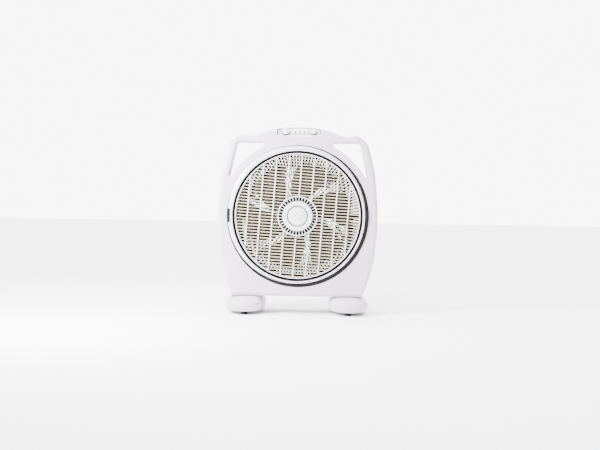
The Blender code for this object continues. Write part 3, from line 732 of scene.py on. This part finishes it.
def spans(height, outer, inner):
    """Stretches of a horizontal line inside the outer circle and outside the inner one."""
    reach = math.sqrt(outer**2 - height**2)
    if abs(height) >= inner:
        return [(-reach, reach)]
    clear = math.sqrt(inner**2 - height**2)
    return [(-reach, -clear), (clear, reach)]


def louver():
    """Louver disc: rim, slats, upright ribs and the slotted hub, turned a little in its ring."""
    bm = bmesh.new()
    f, b = LOUVER_FRONT, LOUVER_BACK
    rim = [(172.6, b), (172.6, f + 1.0), (173.4, f + 0.2), (175.2, f), (176, f + 0.8), (176, b)]
    add_turned(bm, rim, 180)
    section = slat_section()
    for i in range(SLAT_COUNT):
        height = (i - SLAT_COUNT // 2) * SLAT_PITCH
        for start, end in spans(height, 174.0, HUB_RADIUS - 1.0):
            add_bar(bm, (start, height), (end, height), section)
    half = RIB_WIDTH / 2
    rib = [(-half, f + 1.0), (-half + 0.9, f + 0.1), (half - 0.9, f + 0.1), (half, f + 1.0)]
    rib += [(half * 0.7, b), (-half * 0.7, b)]
    for i in range(RIB_COUNT):
        x = (i - RIB_COUNT // 2) * RIB_PITCH
        for start, end in spans(x, 174.0, HUB_RADIUS - 1.0):
            add_bar(bm, (x, start), (x, end), rib)
    hub_rim = [(53.2, b), (53.2, f + 0.6), (54.0, f), (55.4, f), (56.2, f + 0.8), (56.2, b)]
    add_turned(bm, hub_rim, 144)
    hub_floor = [(3.4, f + 1.4), (41.0, f + 1.4), (42.2, f + 2.2), (42.2, f + 6.5), (3.4, f + 6.5)]
    add_turned(bm, hub_floor, 96)
    tooth = [(-0.9, f + 1.2), (-0.5, f + 0.5), (0.5, f + 0.5), (0.9, f + 1.2), (0.8, f + 9), (-0.8, f + 9)]
    for i in range(HUB_SLOTS):
        add_bar(bm, *radial(2 * math.pi * i / HUB_SLOTS, 41.6, 53.8), tooth)
    disc = finished(bm, "louver_grille", LOUVER_WHITE_AND_SHADE, 40.0, (0, LOUVER_TURN, 0), AXIS)
    stand_for(disc, "louver", "louver_plastic", "louver_disc")
    # painted shade: a black disc behind the hub's slots makes them look deep
    slot_shade = turned("hub_slot_painted_shade", tube(41.0, 54.4, b - 2.0, b - 0.4), BLACK, 96, at=AXIS)
    stand_for(slot_shade, "louver", "black_plastic")
    # painted shade: a grey ring laid in the groove between the hub collar and the dome darkens it
    groove = turned("hub_groove_shade_ring", tube(26.3, 29.8, f + 0.7, f + 1.3), GROOVE_SHADE_GREY, 96, at=AXIS)
    stand_for(groove, "louver", "louver_plastic")


def hub():
    low, high = node_mm("hub_ring")
    f, b = low.y, high.y
    ring = [(30, b), (30, f + 1.4), (30.8, f + 0.4), (32.2, f)]
    ring += [(39.2, f), (40.8, f + 0.5), (41.5, f + 1.8), (41.5, b)]
    collar = turned("hub_collar", ring, HUB_WHITE, 128, at=AXIS)
    stand_for(collar, "louver", "cabinet_plastic", "hub_ring")
    low, high = node_mm("hub_cap")
    height = high.y - low.y
    radius = high.x
    turns = [i * math.pi / 28 for i in range(14)]
    dome = [(radius * math.cos(a), high.y - 1.6 - (height - 1.6) * math.sin(a)) for a in turns]
    profile = [(radius, high.y), *dome, (0, low.y), (0, high.y)]
    cap = turned("hub_dome", profile, HUB_WHITE, 128, at=AXIS)
    stand_for(cap, "louver", "cabinet_plastic", "hub_cap")


def flat_ring(bm, radius, half_width, front, back, sides=144):
    soft = min(0.5, half_width / 2)
    inner, outer = radius - half_width, radius + half_width
    near = [(inner, back), (inner, front + soft), (inner + soft, front)]
    add_turned(bm, near + [(outer - soft, front), (outer, front + soft), (outer, back)], sides)


def fins(bm, count, inner, outer, half_width, front, back, shift=0.0):
    section = [(-half_width, front), (half_width, front), (half_width, back), (-half_width, back)]
    for i in range(count):
        add_bar(bm, *radial(shift + 2 * math.pi * i / count, inner, outer), section)


def inner_guard():
    """Guard behind the louver: fine dark wires and rings, and two wide arms that carry the louver's motor."""
    low, high = node_mm("inner_guard")
    f, b = low.y, high.y
    bm = bmesh.new()
    fins(bm, 16, 30, 188, 0.9, f + 1.0, b)
    fins(bm, 2, 30, 188, 6.0, f, b)
    for radius in (75, 98, 121, 144, 166):
        flat_ring(bm, radius, 0.8, f + 1.5, b)
    flat_ring(bm, 186.5, 3.4, f, b)
    add_turned(bm, [(4, f), (31, f), (32, f + 1), (32, b), (4, b)], 64)
    guard = finished(bm, "finger_guard", GUARD_SHADE_BLACK, 40.0, at=AXIS)
    stand_for(guard, "cabinet", "black_plastic", "inner_guard")


def rear_guard():
    """Guard at the back: dark radial fins, wider and twice as many near the edge, rings, frame and boss."""
    low, high = node_mm("rear_guard")
    f, b = low.y, high.y
    bm = bmesh.new()
    fins(bm, FIN_COUNT // 2, 46, 178, 2.2, f, b - 0.8, math.radians(1.5))
    fins(bm, FIN_COUNT // 2, 116, 178, 2.2, f, b - 0.8, math.radians(4.5))
    fins(bm, FIN_COUNT, 143, 178, 3.5, f, b - 1.2, math.radians(1.5))
    for radius in (64, 82, 99, 116, 140, 160):
        flat_ring(bm, radius, 1.0, f, b)
    frame_profile = [(177, f), (194, f), (194, b - 1.4), (192.8, b - 0.3)]
    frame_profile += [(191.5, b), (179, b), (177, b - 1.6)]
    add_turned(bm, frame_profile, 144)
    boss = [(0, f), (48, f), (48, b - 1.2), (46.8, b), (30, b), (28, b - 1.0), (16, b - 1.0), (14, b), (0, b)]
    add_turned(bm, boss, 96)
    guard = finished(bm, "back_guard", GUARD_SHADE_BLACK, 40.0, at=AXIS)
    stand_for(guard, "cabinet", "black_plastic", "rear_guard")


# ---------------------------------------------------------------- impeller and motor


def blade_rings(first_angle, stations=18, chords=14):
    """Rings of points along one swept, twisted blade with thin rounded edges."""
    rings = []
    for s in range(stations + 1):
        along = s / stations
        radius = BLADE_HUB - 4 + (BLADE_TIP - BLADE_HUB + 4) * along
        half = math.radians(25 - along - 7 * along**12)
        middle = first_angle + BLADE_SWEEP * along
        faces = ([], [])
        for c in range(chords + 1):
            across = 2 * c / chords - 1
            angle = middle + half * across
            depth = -5 + 19 * across * (1 - 0.35 * along) + 3 * (1 - across**2)
            thick = 1.15 * (1 - 0.6 * across**6)
            for face, sign in zip(faces, (-1, 1)):
                face.append((radius * math.sin(angle), depth + sign * thick, radius * math.cos(angle)))
        rings.append(faces[0] + faces[1][::-1])
    return rings


def impeller():
    bm = bmesh.new()
    for i in range(BLADES):
        made = add_skin(bm, blade_rings(BLADE_PHASE + 2 * math.pi * i / BLADES))
        for end in (made[0], made[-1]):
            count = len(end)
            for k in range(count // 2 - 1):
                bm.faces.new((end[k], end[k + 1], end[count - 2 - k], end[count - 1 - k]))
    hub = [
        (4.3, -24), (28, -24), (33, -23), (36.5, -20.5), (38, -17), (38, 13), (35.5, 13), (35.5, -16),
        (34, -19), (29, -21), (9, -21), (9, 8), (4.3, 8),
    ]  # fmt: skip
    add_turned(bm, hub, 96)
    stand_for(finished(bm, "impeller_blades", BLADE, 40.0, at=AXIS), "impeller", "blade_plastic", "fan_blade")
    nut = [(4.3, -24.3), (11, -24.3), (12, -25), (12, -27), (10.5, -30)]
    nut += [(8, -32.4), (6, -33), (0, -33), (0, -30.6), (4.3, -30.6)]
    cap = turned("blade_cap_nut", nut, BLACK, 48, at=AXIS)
    stand_for(cap, "impeller", "black_plastic", "blade_nut")


def motor():
    low, high = node_mm("motor_front_cover")
    radius = high.x
    f, split = low.y, high.y
    bm = bmesh.new()
    add_turned(bm, [
        (4.6, f), (28, f), (33, f + 1), (radius - 4, f + 5), (radius - 1, f + 8), (radius, f + 11),
        (radius, split), (radius - 2.7, split), (radius - 2.7, f + 11), (29, f + 3), (4.6, f + 3),
    ], 96)  # fmt: skip
    fins(bm, 24, 18, 30, 1.2, f + 0.2, f + 2.6)
    cover = finished(bm, "motor_shell_front", CASING, 35.0, at=AXIS)
    stand_for(cover, "cabinet", "motor_casing", "motor_front_cover")
    low, high = node_mm("motor_rear_cover")
    f, b = low.y, high.y
    bm = bmesh.new()
    add_turned(bm, [
        (0, b), (38, b), (42, b - 0.6), (45, b - 3), (radius, b - 7), (radius, f), (radius - 2.7, f),
        (radius - 2.7, b - 8), (40, b - 4), (0, b - 4),
    ], 96)  # fmt: skip
    ridge = [(radius - 1, 0), (radius, 0.4), (radius, 1.4), (radius - 1, 1.8)]
    for i in range(5):
        add_turned(bm, [(r - 0.2, f + 3 + 3.2 * i + y) for r, y in ridge], 96)
    cover = finished(bm, "motor_shell_rear", CASING, 35.0, at=AXIS)
    stand_for(cover, "cabinet", "motor_casing", "motor_rear_cover")
    low, high = node_mm("louver_motor")
    f, b = low.y, high.y
    can = [(0, f), (21, f), (23.4, f + 0.6), (24, f + 2), (24, b - 2), (23.2, b - 0.6), (21.5, b), (0, b)]
    drive = turned("louver_drive", can, CASING, 64, at=AXIS)
    stand_for(drive, "cabinet", "motor_casing", "louver_motor")


# ---------------------------------------------------------------- controls


def panel_piece(bm, name, surface, x=0.0, up=0.0, sharp=35.0):
    return finished(bm, name, surface, sharp, PANEL_TURN, on_panel(x, up))


def knob(name, node, body, x, radius, height):
    """Fluted knob with a domed top, a raised grip and a dark pointer line."""
    flutes = 20
    sides = flutes * 6
    bm = bmesh.new()
    steps = [(0.0, -0.5), (0.0, -height + 2.2), (0.4, -height + 1.0), (1.6, -height + 0.2), (3.0, -height)]
    rings = []
    for margin, y in steps:
        ring = []
        for i in range(sides):
            angle = 2 * math.pi * i / sides
            flute = 0.35 * (1 + math.cos(flutes * angle)) / 2 if margin < 1 else 0
            r = radius - margin - flute
            ring.append((r * math.cos(angle), y, r * math.sin(angle)))
        rings.append(ring)
    made = add_skin(bm, rings)
    add_cap(bm, [made[0]])
    add_cap(bm, [made[-1]])
    grip = [(0, -height + 1), (0, -height - 2.2), (0.5, -height - 2.8), (0.8, -height - 3)]
    add_prism(bm, [rectangle(1.6, radius - 2, corner=1.2)], grip)
    add_turned(bm, [(3, -0.6), (3, 8), (0, 8), (0, -0.6)], 24)
    piece = panel_piece(bm, name, KEY_WHITE, x, CONTROL_ROW)
    stand_for(piece, body, "cabinet_plastic", node)
    bm = bmesh.new()
    line = [(0, -height), (0, -height - 3.02), (0.1, -height - 3.04)]
    add_prism(bm, [rectangle(0.55, 1.8, (0, radius - 3.6), 0.3)], line)
    stand_for(panel_piece(bm, name + "_pointer", BLACK, x, CONTROL_ROW), body, "black_plastic")


def controls():
    slots = [rectangle(5.6, 8.2, (x, CONTROL_ROW), 1.0) for x in KEY_X.values()]
    bores = [circle(3.6, 24, (x, CONTROL_ROW)) for x in (TIMER_X, LOUVER_SWITCH_X)]
    bm = bmesh.new()
    add_prism(bm, [panel_outline(1.5, 1.5), *slots, *bores], [(0, 2.2), (0, 0.9), (0.3, 0.3), (0.9, 0.0)])
    stand_for(panel_piece(bm, "panel_plate", HUB_WHITE), "cabinet", "cabinet_plastic", "control_panel")
    # painted shadow: a black sheet behind the plate shows round its edge, widest along the top, where the
    # upper edge casts its shadow
    bm = bmesh.new()
    add_prism(bm, [panel_outline(0.2), *slots, *bores], [(0, 2.9), (0, 2.3)])
    stand_for(panel_piece(bm, "panel_painted_shadow", BLACK), "cabinet", "black_plastic")
    # painted shadow: black rings round the knobs stand for the shadows the knobs cast on the panel
    bm = bmesh.new()
    for x, radius in ((TIMER_X, 11.0), (LOUVER_SWITCH_X, 9.0)):
        rings = []
        for margin, y in ((0.25, -0.05), (0.25, -3.0), (1.4, -2.6), (1.6, -0.05)):
            rings.append([(px, y, pz) for px, pz in circle(radius + margin, 64, (x, CONTROL_ROW))])
        add_skin(bm, rings, loop=True)
    stand_for(panel_piece(bm, "knob_painted_shadows", BLACK), "cabinet", "black_plastic")
    knob("timer_dial", "timer_knob", "timer_control", TIMER_X, 11.0, 9.0)
    knob("louver_dial", "louver_knob", "louver_control", LOUVER_SWITCH_X, 9.0, 8.0)
    for name, x in KEY_X.items():
        bm = bmesh.new()
        steps = [(0, 8), (0, -4.6), (0.25, -5.4), (0.8, -5.9), (1.3, -6)]
        add_prism(bm, [rectangle(4.5, 7.0, corner=1.0)], steps)
        piece = panel_piece(bm, f"{name}_piano_key", KEY_WHITE, x, CONTROL_ROW)
        stand_for(piece, f"{name}_key", "cabinet_plastic", f"key_{name}")


# ---------------------------------------------------------------- fasteners and hidden parts


def screw_head(node, reach):
    """Pan head with a cross recess, over the CAD screw's own place and size."""
    low, high = node_mm(node)
    middle = (low + high) / 2
    head = (high.x - low.x) / 2
    shank = [(0, 0), (1.8, 0), (1.8, reach), (head, reach), (head, reach + 1.0)]
    profile = shank + [(head * 0.8, reach + 1.9), (head * 0.4, reach + 2.2), (0, reach + 2.2)]
    placed = [(r, low.y + y) for r, y in profile]
    piece = turned(node + "_head", placed, STEEL, 32, at=(middle.x, 0, middle.z))
    bm = bmesh.new()
    arm, half = head * 0.55, 0.4
    quadrant = [(arm, -half), (arm, half), (half, half)]
    cross = []
    for _ in range(4):
        cross += quadrant
        quadrant = [(-z, x) for x, z in quadrant]
    add_prism(bm, [cross], [(0, high.y + 1), (0, high.y - 1.2)])
    cutter = finished(bm, "cross", STEEL, at=(middle.x, 0, middle.z))
    cut_away(piece, cutter)
    stand_for(piece, "cabinet", "steel", node)


def fasteners():
    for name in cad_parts:
        if name.startswith(("guard_screw", "motor_screw", "housing_screw")):
            low, high = node_mm(name)
            screw_head(name, high.y - low.y - 2.2)


KEPT_NODES = {
    "cord_gland": BLACK,
    "capacitor": BLACK,
    "timer_body": BLACK,
    "speed_switch_body": BLACK,
    "louver_switch_body": BLACK,
    "winding_front": COPPER,
    "winding_rear": COPPER,
    "motor_shaft": STEEL,
    "louver_shaft": STEEL,
    "rotor_core": STEEL,
    "stator_core": STEEL,
    "front_bearing": STEEL,
    "rear_bearing": STEEL,
    "foot_screw_front_left": STEEL,
    "foot_screw_front_right": STEEL,
    "foot_screw_rear_left": STEEL,
    "foot_screw_rear_right": STEEL,
}


def kept_nodes():
    for name, surface in KEPT_NODES.items():
        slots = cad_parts[name].data.materials
        slots.clear()
        slots.append(surface)


front_shell()
rear_shell()
handle_backs()
feet()
grille_ring()
ring_clips()
louver()
hub()
inner_guard()
rear_guard()
impeller()
motor()
controls()
fasteners()
kept_nodes()


# ---------------------------------------------------------------- floor, light and camera


def studio():
    bm = bmesh.new()
    reach, back = FLOOR_REACH, FLOOR_BACK
    corners = ((-reach, -reach), (reach, -reach), (reach, back), (-reach, back))
    bm.faces.new([bm.verts.new((x, y, 0)) for x, y in corners])
    floor_look = Shader("pale_floor", 0.9, specular=0.1)
    tones = [(0.3, (0.93, 0.93, 0.935)), (0.7, (0.96, 0.96, 0.96))]
    floor_look.colour(floor_look.ramp(floor_look.noise(2.0), tones))
    floor = finished(bm, "floor", floor_look.material)

    world = bpy.data.worlds.new("white_studio")
    world.use_nodes = True
    nodes, links = world.node_tree.nodes, world.node_tree.links
    direction = nodes.new("ShaderNodeTexCoord").outputs["Generated"]
    split = nodes.new("ShaderNodeSeparateXYZ")
    links.new(direction, split.inputs["Vector"])
    level = None
    for axis, (start, end, strength) in BRIGHT_PARTS.items():
        fade = nodes.new("ShaderNodeMapRange")
        fade.interpolation_type = "SMOOTHSTEP"
        for socket, value in {"From Min": start, "From Max": end, "To Min": 0.0, "To Max": strength}.items():
            fade.inputs[socket].default_value = value
        links.new(split.outputs[axis], fade.inputs["Value"])
        total = nodes.new("ShaderNodeMath")
        total.inputs[0].default_value = FRONT_LIGHT
        if level:
            links.new(level, total.inputs[0])
        links.new(fade.outputs["Result"], total.inputs[1])
        level = total.outputs["Value"]
    links.new(level, nodes["Background"].inputs["Strength"])
    nodes["Background"].inputs["Color"].default_value = (1.0, 1.0, 1.0, 1.0)
    bpy.context.scene.world = world

    for name, (place, size, power) in LIGHTS.items():
        data = bpy.data.lights.new(name, "AREA")
        data.shape = "DISK"
        data.size = size
        data.energy = power
        lamp = bpy.data.objects.new(name, data)
        lamp.location = place
        aim = Vector((0, 0, CENTRE_Z * MM)) - Vector(place)
        lamp.rotation_euler = aim.to_track_quat("-Z", "Y").to_euler()
        bpy.context.scene.collection.objects.link(lamp)


def camera():
    data = bpy.data.cameras.new("camera")
    data.sensor_width = SENSOR_MM
    data.lens = SENSOR_MM * CAMERA_DISTANCE / FIELD_WIDTH
    made = bpy.data.objects.new("camera", data)
    across = CAMERA_DISTANCE * math.sin(CAMERA_AZIMUTH)
    back = CAMERA_DISTANCE * math.cos(CAMERA_AZIMUTH)
    made.location = (CAMERA_AIM.x + across, CAMERA_AIM.y - back, CAMERA_HEIGHT)
    made.rotation_euler = (CAMERA_AIM - made.location).to_track_quat("-Z", "Y").to_euler()
    made.rotation_euler.rotate_axis("Z", CAMERA_ROLL)
    bpy.context.scene.collection.objects.link(made)
    bpy.context.scene.camera = made


studio()
camera()

bpy.context.view_layer.update()
